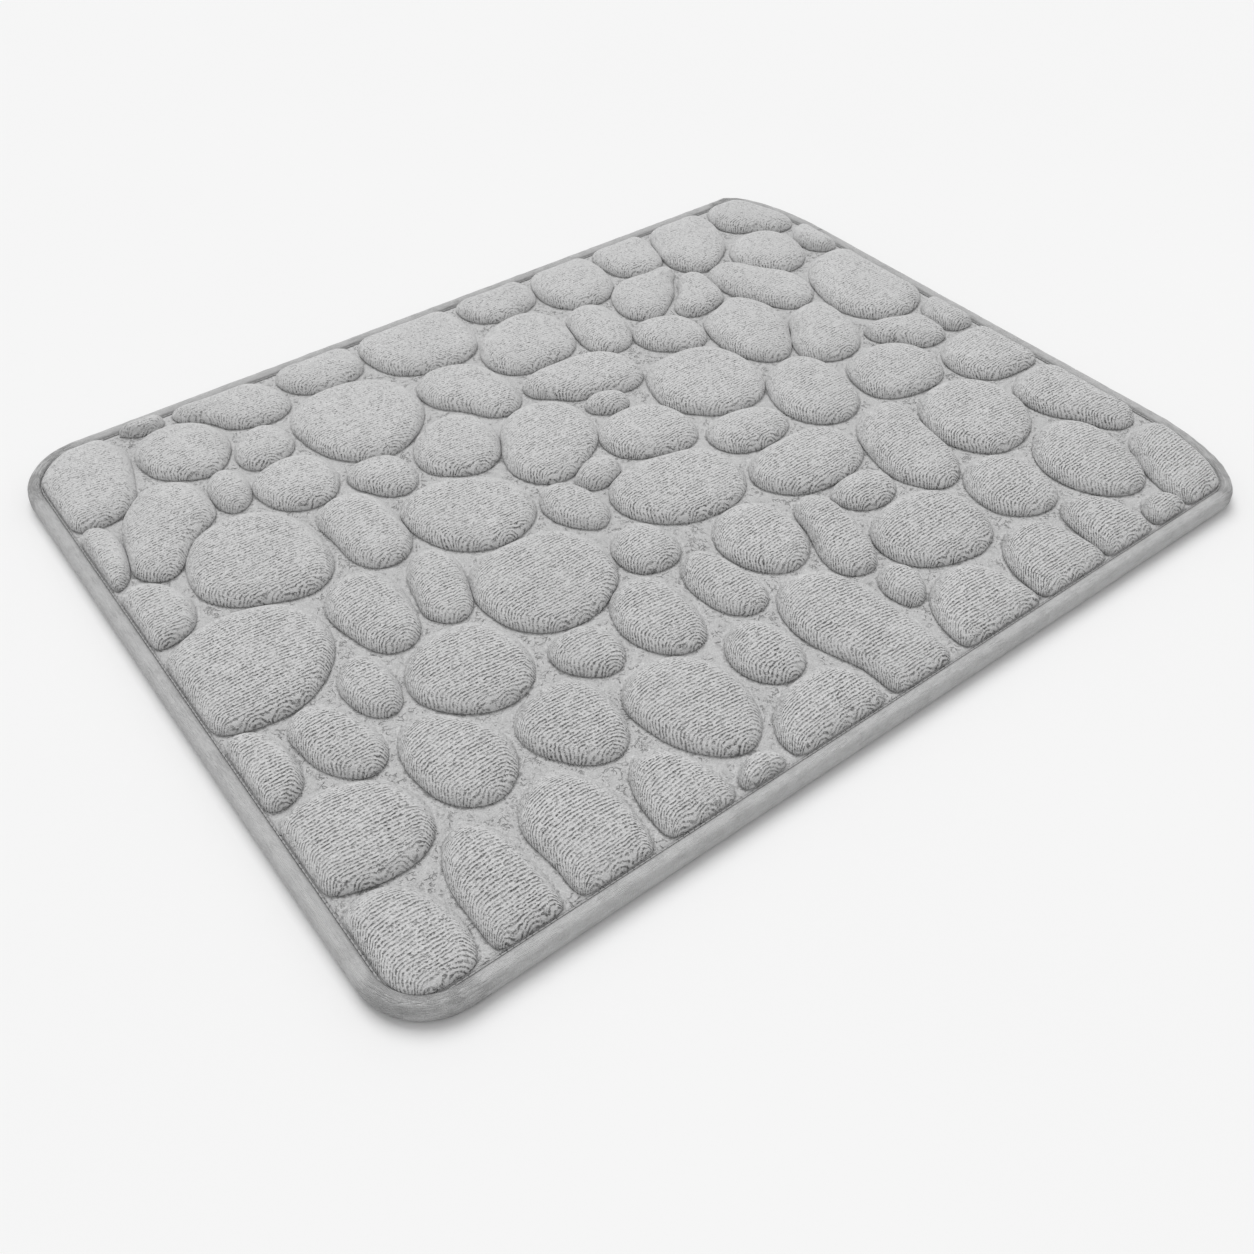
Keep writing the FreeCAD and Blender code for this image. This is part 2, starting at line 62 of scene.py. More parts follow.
# ---- shape of a stone ----
FACE_THICKNESS = 2 * MM
# A stone's side, foot to shoulder: how far in from the outline (mm), share of the height.
STONE_SIDE = ((0.0, 0.0), (-0.6, 0.09), (-0.5, 0.22), (0.55, 0.41), (2.0, 0.61), (4.5, 0.79),
              (7.8, 0.915), (11.6, 0.98))
STONE_CROWN = (0.74, 0.48, 0.22)     # further rings, as shares of the last one
COARSE_SIDE = ((0.0, 0.0), (0.3, 0.5), (2.2, 0.8), (7.0, 0.975))
COARSE_CROWN = (0.5,)
UPRIGHT_INSET = 0.5          # rings set in less than this (mm) follow the outline exactly
FAR_SIDE = np.array((0.65, 0.76))    # towards the light; that side of a stone is gentler, and painted shade lies on the opposite side
GENTLE_INSET = 4.4           # four times the most that the gentle side is set further in (mm)
FULL_SHOULDER = 19 * MM      # stones of a smaller radius have their shoulders scaled down
FULL_HEIGHT = 20 * MM        # and below this radius they are a little lower
SMALL_STONE_SHARE = 0.86     # height of the smallest, as a share of the full height
FULL_DOME = 24 * MM          # below this radius the crown is less domed
DOME = 0.9 * MM
DEEPEST_INSET = 0.84         # no ring goes further in than this share of the way to the middle
LUMPS = 0.35 * MM            # unevenness of the crown

# ---- ridges of the pile ----
RIDGE_PITCH = 2.05 * MM
RIM_WIDTH = 11 * MM          # how far from a stone's foot the ridges bend round it
RIM_BEND = 8 * MM            # and how far at most they are carried along it
RIM_LOOP = 2.4 * MM          # size of the loops they make on the near rim
SMOOTHEST = 0.07             # least clearness of the ridges on a stone
GROUND_GRAIN = 0.02          # what marks the ground between the stones in the same attribute

# ---- binding and sewing ----
CREST_INSET = 3.9 * MM       # from the mat's outer edge to the highest line of the binding
WAIST = 5.0 * MM             # height at which the binding is widest
PULL = 0.14 * MM             # dents that the sewing makes in the binding's straights
CORNER_PULL = 0.10 * MM      # how much deeper they are where it bends
STITCH_PITCH = 3.2 * MM
STITCH_RADIUS = 0.42 * MM
STITCH_SHARE = 0.97          # of the pitch that shows as thread

# ---- underside ----
DOT_MARGIN = 3.0 * MM        # a dot closer than this to the binding's inner edge is left out
DOT_REACH = 4.5 * MM         # all points of one dot lie within this of each other

# ---- greys, as linear values ----
FLEECE_GREY = 0.665
BINDING_GREY = 0.60
BACKING_GREY = 0.42
DOT_GREY = 0.60
THREAD_GREY = 0.50
LABEL_GREY = 0.80
FLOOR_GREY = 0.915
FOAM_COLOUR = (0.80, 0.76, 0.64, 1)

# ---- floor, light and camera ----
FLOOR_HALF = 6.0
FLOOR_GAP = 0.2 * MM         # the floor is this far under the mat
SKY_STRENGTH = 0.58
SUN_FROM = (0.22, 0.66, 1.2)
SUN_STRENGTH = 1.55
SUN_SPREAD = math.radians(40)
LENS = 36.0                  # mm, on a sensor as wide
# Where the camera stands, as seen from the point that it looks at, and its tilt (metres).
CAMERA_AZIMUTH = math.radians(-37.337)
CAMERA_ELEVATION = math.radians(45.132)
CAMERA_ROLL = math.radians(-0.114)
CAMERA_DISTANCE = 0.67877
CAMERA_TARGET = Vector((-0.07809, -0.09559, 0.0))


# ---------------------------------------------------------------- small tools

def grey(value):
    """Linear colour of a neutral grey."""
    return (value, value, value, 1.0)


def wander(points, size, seed):
    """Smooth random value, about -1 to 1, for each (x, y), changing over the given size."""
    return np.array([noise.noise(Vector((x / size + seed, y / size - seed, seed)))
                     for x, y in points])


def round_noise(waves, angle, level):
    """Random value that joins up after a full turn; more waves make it change faster."""
    return noise.noise(Vector((waves * math.cos(angle), waves * math.sin(angle), level)))


def ramp(value, low, high):
    """0 below low, 1 above high, smooth between."""
    t = np.clip((value - low) / (high - low), 0, 1)
    return t * t * (3 - 2 * t)


def even_loop(points, spacing):
    """The closed loop of points, evenly spaced again."""
    closed = np.vstack([points, points[:1]])
    along = np.concatenate([[0], np.cumsum(np.linalg.norm(np.diff(closed, axis=0), axis=1))])
    count = max(14, int(round(along[-1] / spacing)))
    at = np.arange(count) * along[-1] / count
    return np.stack([np.interp(at, along, closed[:, k]) for k in (0, 1)], axis=1)


def softened(values, passes):
    """Values round a closed loop, each averaged with its neighbours."""
    for _ in range(passes):
        values = (np.roll(values, 1, axis=0) + 2 * values + np.roll(values, -1, axis=0)) / 4
    return values


def outward(loop):
    """Unit normals pointing out of a loop that runs anticlockwise."""
    along = np.roll(loop, -1, axis=0) - np.roll(loop, 1, axis=0)
    normal = np.stack([along[:, 1], -along[:, 0]], axis=1)
    return normal / np.linalg.norm(normal, axis=1)[:, None]


def inside(points, loop):
    """Which of the points lie inside the loop."""
    result = np.zeros(len(points), bool)
    near = np.flatnonzero(np.all((points > loop.min(axis=0)) & (points < loop.max(axis=0)), axis=1))
    x, y = points[near, 0][:, None], points[near, 1][:, None]
    a, b = loop, np.roll(loop, -1, axis=0)
    spans = (a[:, 1] > y) != (b[:, 1] > y)
    with np.errstate(divide="ignore", invalid="ignore"):
        cross = a[:, 0] + (y - a[:, 1]) * (b[:, 0] - a[:, 0]) / (b[:, 1] - a[:, 1])
    result[near] = (np.sum(spans & (x < cross), axis=1) % 2) == 1
    return result


def wall_faces(count, low, high):
    """Faces between two loops of count points, facing out.  Their points begin at low and high."""
    return [(low + i, low + (i + 1) % count, high + (i + 1) % count, high + i) for i in range(count)]


def tube_faces(start, rings, sides):
    """Faces of a closed tube whose rings of points begin at start."""
    faces = []
    for ring in range(rings - 1):
        a, b = start + ring * sides, start + (ring + 1) * sides
        faces += [(a + i, b + i, b + (i + 1) % sides, a + (i + 1) % sides) for i in range(sides)]
    last = start + (rings - 1) * sides
    return faces + [tuple(range(start, start + sides)), tuple(reversed(range(last, last + sides)))]


def new_mesh(name, verts, faces, attributes=None, smooth=True):
    """Mesh object with optional values stored at its points."""
    mesh = bpy.data.meshes.new(name)
    mesh.from_pydata([tuple(v) for v in verts], [], faces)
    mesh.validate()
    if smooth:
        mesh.shade_smooth()
    for key, values in (attributes or {}).items():
        stored = mesh.attributes.new(key, "FLOAT", "POINT")
        stored.data.foreach_set("value", np.asarray(values, float))
    obj = bpy.data.objects.new(name, mesh)
    bpy.context.scene.collection.objects.link(obj)
    return obj


# ---------------------------------------------------------------- sizes from the frame

FLEECE_LOW, FLEECE_HIGH = (np.array(corner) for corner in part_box("fleece_face"))
BINDING_LOW, BINDING_HIGH = (np.array(corner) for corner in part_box("edge_binding"))
THREAD_LOW, THREAD_HIGH = (np.array(corner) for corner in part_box("needle_thread"))
BACKING_LOW, BACKING_HIGH = (np.array(corner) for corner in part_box("backing_cloth"))
FOAM_LOW = np.array(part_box("memory_foam_core")[0])
BOBBIN_HEIGHT = sum(corner[2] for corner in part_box("bobbin_thread")) / 2

HALF_X, HALF_Y = BINDING_HIGH[0], BINDING_HIGH[1]
SEAM_INSET = HALF_X - THREAD_HIGH[0]          # outer edge of the mat to the binding's inner edge
BINDING_WALL = HALF_X - FLEECE_HIGH[0]


# The sewn corners aren't quite equal.  From the back right, anticlockwise: how far each reaches
# along X and along Y (mm), and how fast it tightens going in (1 = an even strip).
SEWN_CORNERS = ((32, 86, 1.0), (42, 42, 1.0), (36, 36, 1.8), (39, 80, 1.0))
EVEN_CORNERS = ((36, 36, 1.0),) * 4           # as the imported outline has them
SEAM_ROOM = 2.2 * MM                          # least distance from a stone's foot to the seam


def mat_outline(inset, spacing, corners=SEWN_CORNERS):
    """Evenly spaced points round the mat's outline moved in by the inset, anticlockwise."""
    points = []
    for (reach_x, reach_y, tighten), (sx, sy), start in zip(
            corners, ((1, 1), (-1, 1), (-1, -1), (1, -1)), (0, 90, 180, 270)):
        rx, ry = reach_x * MM - tighten * inset, reach_y * MM - tighten * inset
        x, y = sx * (HALF_X - inset - rx), sy * (HALF_Y - inset - ry)
        for step in range(91):
            angle = math.radians(start + step)
            points.append((x + rx * math.cos(angle), y + ry * math.sin(angle)))
    return even_loop(np.array(points), spacing)


def to_seam(points, seam):
    """Distance from each point to the seam line, and the unit direction there."""
    step = seam[None, :, :] - points[:, None, :]
    reach = np.linalg.norm(step, axis=2)
    nearest = reach.argmin(axis=1)
    row = np.arange(len(points))
    return reach[row, nearest], step[row, nearest] / np.maximum(reach[row, nearest], 1e-6)[:, None]


def fit_to_seam(outline):
    """The outline with the parts that meet the seam moved to where the sewn corner really runs."""
    seam = mat_outline(SEAM_INSET, SEAM_SPACING)
    even, _ = to_seam(outline, mat_outline(SEAM_INSET, SEAM_SPACING, EVEN_CORNERS))
    sewn, way = to_seam(outline, seam)
    sewn = np.where(inside(outline, seam), sewn, -sewn)
    way = way * np.sign(sewn)[:, None]
    # The nearer a point is to the seam, the more of the corner's change it follows.
    out = softened(np.maximum(sewn - even, 0) * (1 - ramp(even, 2 * MM, 9 * MM)), 1)
    room = sewn - SEAM_ROOM
    return outline + way * np.minimum(out, room)[:, None]


def level_outlines(node):
    """Height of a CAD node's lowest upward face, and the holes in it, as anticlockwise loops."""
    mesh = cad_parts[node].data
    co = np.empty(len(mesh.vertices) * 3)
    mesh.vertices.foreach_get("co", co)
    co = co.reshape(-1, 3)
    keys = [tuple(k) for k in np.round(co * 1e6).astype(int)]    # whole micrometres, to compare
    flats = []
    for poly in mesh.polygons:
        heights = [co[i][2] for i in poly.vertices]
        if poly.normal.z > 0.99 and max(heights) - min(heights) < TOUCHING:
            flats.append((heights[0], [keys[i] for i in poly.vertices]))
    level = min(height for height, _ in flats)
    edges = {}          # a dictionary for its fixed order, so that each run starts the loops alike
    for height, corners in flats:
        if height < level + 10 * TOUCHING:
            for a, b in zip(corners, corners[1:] + corners[:1]):
                edges[a[:2], b[:2]] = None
    border = {a: b for a, b in edges if (b, a) not in edges}
    loops = []
    while border:
        start, at = border.popitem()
        loop = [start]
        while at != start:
            loop.append(at)
            at = border.pop(at)
        loops.append(np.array(loop) * 1e-6)
    loops.sort(key=lambda loop: np.ptp(loop[:, 0]))
    holes = []
    for loop in loops[:-1]:
        area = np.sum(loop[:, 0] * np.roll(loop[:, 1], -1) - loop[:, 1] * np.roll(loop[:, 0], -1))
        holes.append(loop if area > 0 else loop[::-1])
    return level, holes


# ---------------------------------------------------------------- the stones

def ridge_phases(outline, reach, normal, rings, arcs, shoulder, stretch, slope):
    """Where each ring's points lie across the ridges, in metres; a ridge is a line of one value.
    The ridges are straight over the crown, bent round the rim and looped at its near end."""
    count = len(outline)
    # Counted from the front of the foot: the middle one of the points level with the foremost.
    level = np.flatnonzero(outline[:, 1] < outline[:, 1].min() + 0.6 * MM)
    first = level[np.argsort(outline[level, 0])[len(level) // 2]]
    steps = np.abs((np.arange(count) - first + count // 2) % count - count // 2)
    round_rim = steps * np.linalg.norm(outline - np.roll(outline, 1, axis=0), axis=1).mean()
    rim = outline - normal * stretch
    rim_rows = rim[:, 1] + slope * rim[:, 0]
    bend = round_rim * (1 + stretch / reach.mean()) - (rim_rows - rim_rows[first])
    bend = RIM_BEND * np.tanh(bend / RIM_BEND)
    loops = RIM_LOOP * (1 - np.cos(round_rim / RIM_LOOP))
    bend += ramp(normal[:, 1], 0.6, 0.95) * (loops - bend)
    phases = []
    for ring, arc in zip(rings, arcs):
        # The side counts as if it were folded out flat, so that the ridges keep their pitch there.
        flat = ring - normal * stretch * (1 - min(1.0, arc / shoulder))
        rows = flat[:, 1] + slope * flat[:, 0]
        phases.append(rows + (1 - ramp(arc, 0, RIM_WIDTH)) * bend)
    return phases


def stone(outline, foot, height, side, crown, seed):
    """A pillow-like stone, as rings from its foot up and a top point.  Returns its points, and at
    each of them the ridge phase, the way over the surface from the foot and how much that side
    faces the far side; then the number of rings."""
    count = len(outline)
    centre = outline.mean(axis=0)
    reach = np.linalg.norm(outline - centre, axis=1)
    width = reach.min()
    tight = min(1.0, width / FULL_SHOULDER)
    rise = height * (SMALL_STONE_SHARE + (1 - SMALL_STONE_SHARE) * min(1.0, width / FULL_HEIGHT))
    doming = DOME * min(1.0, width / FULL_DOME)
    normal = -softened(outward(outline), 4)
    normal /= np.linalg.norm(normal, axis=1)[:, None]
    # The rings close in on the middle; that way is longer than the inset where it runs askew.
    to_centre = (centre - outline) / reach[:, None]
    per_inset = 1 / np.clip(np.sum(normal * to_centre, axis=1), 0.6, 1)
    facing = -normal @ FAR_SIDE
    gentle = ramp(facing, -0.1, 0.95)
    rings, heights, arcs = [], [], [0.0]
    for inset, share in side:
        inset_at = inset + GENTLE_INSET * share * (1 - share) * gentle
        if inset > UPRIGHT_INSET:
            step = np.minimum(inset_at * tight * per_inset * MM, DEEPEST_INSET * reach)
            rings.append(softened(outline + to_centre * step[:, None], int(inset)))
        else:
            rings.append(outline + normal * (inset_at * MM)[:, None])
        heights.append(share * rise)
    shoulder_ring, shoulder_share = rings[-1], side[-1][1]
    for share in crown:
        rings.append(centre + (shoulder_ring - centre) * share)
        heights.append(shoulder_share * rise
                       + (rise * (1 - shoulder_share) + doming) * (1 - share ** 2))
    for k in range(1, len(rings)):
        step = np.linalg.norm(rings[k] - rings[k - 1], axis=1).mean()
        arcs.append(arcs[-1] + math.hypot(step, heights[k] - heights[k - 1]))

    shoulder = arcs[len(side) - 1]
    stretch = max(0.0, shoulder - side[-1][0] * MM * tight)
    slope = 0.05 * math.sin(5.1 * seed)      # each stone's ridges run a little askew
    phases = ridge_phases(outline, reach, normal, rings, arcs, shoulder, stretch, slope)
    phases.append([centre[1] + slope * centre[0]])
    points = [np.column_stack([ring, np.full(count, foot + level)])
              for ring, level in zip(rings, heights)]
    points.append([[centre[0], centre[1], foot + rise + doming]])
    points, phases = np.vstack(points), np.concatenate(phases)
    facing_at = np.append(np.tile(facing, len(rings)), 0.0)
    arc_at = np.append(np.repeat(arcs, count), arcs[-1] + reach.mean() / 3)
    points[:, 2] += LUMPS * ramp(arc_at, 2 * MM, 9 * MM) * wander(points[:, :2], 17 * MM, 3.0 + seed)
    # The ridges wander, most of all near the rim.
    loose = 1 - ramp(arc_at, 4 * MM, 16 * MM)
    phases += (0.5 + 0.9 * loose) * MM * wander(points[:, :2], 9 * MM, 7.0)
    phases += 1.1 * MM * wander(points[:, :2], 34 * MM, 11.0)
    return points, phases, arc_at, facing_at, len(rings)


def stone_faces(start, count, rings):
    """Faces of one stone whose points begin at start: rings of count points and a top point."""
    faces = []
    for k in range(rings - 1):
        faces += wall_faces(count, start + k * count, start + (k + 1) * count)
    last, top = start + (rings - 1) * count, start + rings * count
    return faces + [(last + i, last + (i + 1) % count, top) for i in range(count)]


def stone_painted_shading(arc, facing):
    """Painted shading round a stone: painted shade, darkest at the foot of its near side away from
    the light, and painted light (negative values) on the wall above it.
    """
    near = ramp(-facing, -0.75, 0.6)
    foot = 1 - ramp(arc, 0.2 * MM, 2.0 * MM)
    wall = ramp(arc, 1.0 * MM, 3.0 * MM) * (1 - ramp(arc, 6 * MM, 11 * MM))
    return (0.1 + 0.9 * near) * foot - 0.35 * wall * near


def ridge_clearness(points, arc, facing):
    """How clearly the ridges and their painted shade show: most on the near side and towards the
    front of the mat.  The far shoulder of a stone, on the side of the light, is left a pale smooth
    band with little painted shade."""
    rim = 1 - ramp(arc, 5 * MM, 17 * MM)
    back = ramp(0.35 * points[:, 0] / HALF_X + points[:, 1] / HALF_Y, -1.1, 1.25)
    clear = 1 - 0.60 * back + 0.32 * rim * ramp(-facing, 0.0, 0.9) * back
    return np.clip(clear - 0.6 * rim * ramp(facing, 0.1, 0.9), SMOOTHEST, 1)


def ground_grid(feet, inner, spacing):
    """Slightly scattered points over the ground between the stones' feet, and how far each is
    from the nearest foot."""
    tree = kdtree.KDTree(sum(len(loop) for loop in feet))
    for k, (x, y) in enumerate(np.vstack(feet)):
        tree.insert((x, y, 0), k)
    tree.balance()
    generator = np.random.default_rng(5)
    xs = np.arange(-HALF_X, HALF_X, spacing)
    ys = np.arange(-HALF_Y, HALF_Y, spacing * 0.87)
    grid = np.array([(x + (j % 2) * spacing / 2, y) for j, y in enumerate(ys) for x in xs])
    grid += generator.uniform(-0.22, 0.22, grid.shape) * spacing
    free = inside(grid, inner * (1 - 0.6 * spacing / HALF_Y))
    for loop in feet:
        free &= ~inside(grid, loop)
    grid = grid[free]
    gap = np.array([tree.find((x, y, 0))[2] for x, y in grid])
    apart = gap > 0.55 * spacing
    return grid[apart], gap[apart]


def ground_lift(grid, gap, relief):
    """Height of the ground over the feet: it rises away from them and is finely wrinkled."""
    wrinkle = 1 - 2 * np.abs(wander(grid, 8 * MM, 21.0))
    return (relief * ramp(gap, 0, 9 * MM)
            + relief * 0.5 * ramp(gap, 0, 3 * MM) * wander(grid, 5 * MM, 31.0)
            - relief * 0.9 * np.clip(wrinkle - 0.5, 0, 1))


def stone_field(outlines, foot, height, side, crown, edge_rings, spacing, relief):
    """Stones joined by the ground between them.  edge_rings is a list of (loop, height above
    the foot); the first is the outer edge.  Returns points, faces, attributes and edge size."""
    points, rows, painted_shading, grain, faces, feet = [], [], [], [], [], []
    flat, links, at = [], [], 0          # what goes into the triangulation of the ground
    for loop, lift in edge_rings:
        points.append(np.column_stack([loop, np.full(len(loop), foot + lift)]))
        rows.append(loop[:, 1])
        # painted shade on the fleece pressed under the binding
        painted_shading.append(np.full(len(loop), 0.9 if lift < 0 else 0.0))
        grain.append(np.zeros(len(loop)))
        flat += list(loop)
        links += [(at + i, at + (i + 1) % len(loop)) for i in range(len(loop))]
        at += len(loop)
    owners = list(range(at))             # the point that each of them stands for
    for number, outline in enumerate(outlines):
        p, phase, arc, facing, rings = stone(outline, foot, height, side, crown, number * 0.61)
        count = len(outline)
        faces += stone_faces(at, count, rings)
        base = len(flat)
        flat += list(p[:count, :2])
        owners += list(range(at, at + count))
        links += [(base + i, base + (i + 1) % count) for i in range(count)]
        feet.append(p[:count, :2])
        points.append(p)
        rows.append(phase)
        painted_shading.append(stone_painted_shading(arc, facing))
        grain.append(ridge_clearness(p, arc, facing))
        at += len(p)

    grid, gap = ground_grid(feet, edge_rings[-1][0], spacing)
    points.append(np.column_stack([grid, foot + ground_lift(grid, gap, relief)]))
    rows.append(grid[:, 1] + 2 * MM * wander(grid, 9 * MM, 7.0))
    # painted shade on the ground close to the stones' feet
    painted_shading.append(0.2 * np.exp(-gap / (0.8 * MM)))
    grain.append(np.full(len(grid), GROUND_GRAIN))
    flat += list(grid)
    owners += list(range(at, at + len(grid)))

    found = geometry.delaunay_2d_cdt([Vector(p) for p in flat], links, [], 0, SAME_PLACE)
    corners, triangles, sources = found[0], found[2], found[3]
    # Where two feet touch, the triangulation adds a point of its own.
    added = [i for i, source in enumerate(sources) if not source]
    owner = [owners[source[0]] if source else -1 for source in sources]
    for number, i in enumerate(added):
        owner[i] = at + len(grid) + number
    points.append(np.array([(*corners[i], foot) for i in added]).reshape(-1, 3))
    rows.append(np.array([corners[i].y for i in added]))
    # painted shade where two feet touch
    painted_shading.append(np.full(len(added), 0.2))
    grain.append(np.full(len(added), GROUND_GRAIN))
    middles = np.array([np.mean([corners[i][:] for i in t], axis=0) for t in triangles])
    outer = edge_rings[0][0]
    keep = inside(middles, outer)
    for foot_loop in feet:
        keep &= ~inside(middles, foot_loop)
    for triangle, wanted in zip(triangles, keep):
        if wanted:
            faces.append(tuple(owner[i] for i in triangle))
    values = {"row": np.concatenate(rows), "painted_shading": np.concatenate(painted_shading),
              "grain": np.concatenate(grain)}
    return np.vstack(points), faces, values, len(outer)


GROUND, raw_outlines = level_outlines("fleece_face")
OUTLINES = [softened(even_loop(fit_to_seam(even_loop(loop, OUTLINE_SPACING)), OUTLINE_SPACING), 2)
            for loop in raw_outlines]
STONE_HEIGHT = FLEECE_HIGH[2] - GROUND


def coarse(inset):
    """The outlines with fewer points, moved in."""
    result = []
    for outline in OUTLINES:
        loop = even_loop(outline, HIDDEN_SPACING)
        result.append(loop - softened(outward(loop), 2) * inset)
    return result


def make_fleece():
    """The moulded face cloth, with its fine upper side and a plain underside."""
    edge = mat_outline(BINDING_WALL, EDGE_SPACING)
    # Under the binding the fleece is pressed down, and it comes up again just past the seam.
    rings = [(edge, -0.7 * MM)] + [
        (mat_outline(SEAM_INSET + past_seam * MM, EDGE_SPACING), lift * MM)
        for past_seam, lift in ((-1.2, -0.7), (1.3, -0.6), (1.75, 0.1))]
    top, faces, values, count = stone_field(OUTLINES, GROUND, STONE_HEIGHT, STONE_SIDE, STONE_CROWN,
                                            rings, GROUND_SPACING, 1.0 * MM)
    under, under_faces, under_values, _ = stone_field(
        coarse(FACE_THICKNESS), FLEECE_LOW[2], STONE_HEIGHT, COARSE_SIDE, COARSE_CROWN,
        [(edge, 0.0)], COARSE_GROUND_SPACING, 0.0)
    shift = len(top)
    faces += [tuple(shift + i for i in reversed(face)) for face in under_faces]
    faces += wall_faces(count, shift, 0)
    values = {key: np.concatenate([values[key], under_values[key]]) for key in values}
    return new_mesh("fleece_face_cloth", np.vstack([top, under]), faces, values)


def make_foam():
    """The foam sheet that fills the stones, just clear of the cloth over it."""
    edge = mat_outline(BINDING_WALL, HIDDEN_SPACING)
    gap = 0.1 * MM
    top, faces, _, count = stone_field(
        coarse(FACE_THICKNESS + gap), FLEECE_LOW[2] - gap, STONE_HEIGHT, COARSE_SIDE, COARSE_CROWN,
        [(edge, 0.0)], COARSE_GROUND_SPACING, 0.0)
    floor = np.column_stack([edge, np.full(count, FOAM_LOW[2])])
    shift = len(top)
    faces += wall_faces(count, shift, 0)
    faces.append(tuple(shift + i for i in reversed(range(count))))
    return new_mesh("foam_core_pad", np.vstack([top, floor]), faces)


# ---------------------------------------------------------------- the binding

def binding_profile():
    """(inset, height) points of the folded strip, in metres: round its outer side, from under its
    inner lip over the crest to the seam, and then back along its inner side."""
    lip, top, seam = SEAM_INSET, BINDING_HIGH[2], GROUND - 0.4 * MM
    outer = [(lip, 0.0), (0.75 * lip, 0.0), (CREST_INSET, 0.0)]
    for angle in (-72, -58, -42, -25, -8, 10, 25, 38, 50, 61, 71, 80, 90):    # up to the crest
        c, t = math.cos(math.radians(angle)), math.sin(math.radians(angle))
        reach = WAIST if t < 0 else top - WAIST
        outer.append((CREST_INSET * (1 - c ** 0.8), WAIST + math.copysign(reach * abs(t) ** 0.88, t)))
    for angle in (12, 24, 36, 48, 58, 67, 76, 90):                           # down to the seam
        c, t = math.cos(math.radians(angle)), math.sin(math.radians(angle))
        outer.append((CREST_INSET + (lip - CREST_INSET) * t, seam + (top - seam) * abs(c) ** 0.95))
    wall, low = BINDING_WALL + 0.1 * MM, BACKING_LOW[2]
    return outer, [(lip - 0.3 * MM, seam), (wall, seam), (wall, low), (lip, low)]


def make_binding():
    """The strip swept round the mat, with the puckers and fine pulls of a sewn edge."""
    outer, inner = binding_profile()
    profile = outer + inner
    spine = mat_outline(0, BINDING_SPACING)
    count, rows = len(spine), len(profile)
    normals = outward(spine)
    length = np.arange(count) * np.linalg.norm(spine[1] - spine[0])
    turns = 2 * math.pi * length / (length[-1] + BINDING_SPACING)
    bend = softened(np.linalg.norm(normals - np.roll(normals, 4, axis=0), axis=1), 12)
    bend = ramp(bend, 0.02, 0.2)         # 0 on the straights, 1 in the corners
    girth = np.concatenate([[0], np.cumsum([math.dist(profile[k], profile[k - 1])
                                             for k in range(1, rows)])])
    points, painted_shading = [], []
    for k, (inset, height) in enumerate(profile):
        ring = spine - normals * inset
        z = np.full(count, height)
        if 2 < k < len(outer) - 1:       # all of the outer side but its flat underside and its lip
            pull = np.array([round_noise(60, turn, girth[k] / (2.6 * MM))
                             + 0.6 * round_noise(24, turn + 30 * girth[k], girth[k] / (6 * MM))
                             for turn in turns])
            push = (PULL + CORNER_PULL * bend) * pull
            sideways = 1.0 if inset < 0.4 * SEAM_INSET else 0.4     # less on the roll's inner side
            ring = ring + normals * (push * sideways)[:, None]
            if height > 0.6 * BINDING_HIGH[2]:
                z = z + push
        points.append(np.column_stack([ring, z]))
        # Painted shade at the inner lip by the seam and low on the outer side near the floor.
        lip = ramp(inset, SEAM_INSET - 1.5 * MM, SEAM_INSET - 0.3 * MM)
        foot = 1 - ramp(height, 0, 6 * MM)
        painted_shading.append(max(0.55 * lip, 0.7 * foot))
    faces = []
    for k in range(rows):
        a, b = k * count, (k + 1) % rows * count
        faces += [(a + (i + 1) % count, b + (i + 1) % count, b + i, a + i) for i in range(count)]
    return new_mesh("binding_strip", np.vstack(points), faces,
                    {"along": np.tile(length, rows), "across": np.repeat(girth, count),
                     "painted_shading": np.repeat(painted_shading, count), "bend": np.tile(bend, rows)})


# ---------------------------------------------------------------- sewing

def make_stitches(name, inset, height, sink):
    """A row of separate stitches: short rounded lengths of thread that dip at both ends."""
    # Along a stitch, as a share of its length from the middle, and how fat it is there.
    profile = ((-0.5, 0.25), (-0.46, 0.8), (-0.3, 1.0), (0.0, 1.05), (0.3, 1.0), (0.46, 0.8),
               (0.5, 0.25))
    path, sides = mat_outline(inset, STITCH_PITCH), 8
    points, faces = [], []
    for start, end in zip(path, np.roll(path, -1, axis=0)):
        along = (end - start) / np.linalg.norm(end - start)
        across = np.array([-along[1], along[0]])
        span = np.linalg.norm(end - start) * STITCH_SHARE
        faces += tube_faces(len(points), len(profile), sides)
        for share, fat in profile:
            dip = -sink * (2 * abs(share)) ** 3
            for side in range(sides):
                turn = 2 * math.pi * side / sides
                x, y = ((start + end) / 2 + along * span * share
                        + across * STITCH_RADIUS * fat * math.cos(turn))
                points.append((x, y, height + dip + STITCH_RADIUS * fat * math.sin(turn)))
    return new_mesh(name, points, [tuple(reversed(face)) for face in faces])


# ---------------------------------------------------------------- underside

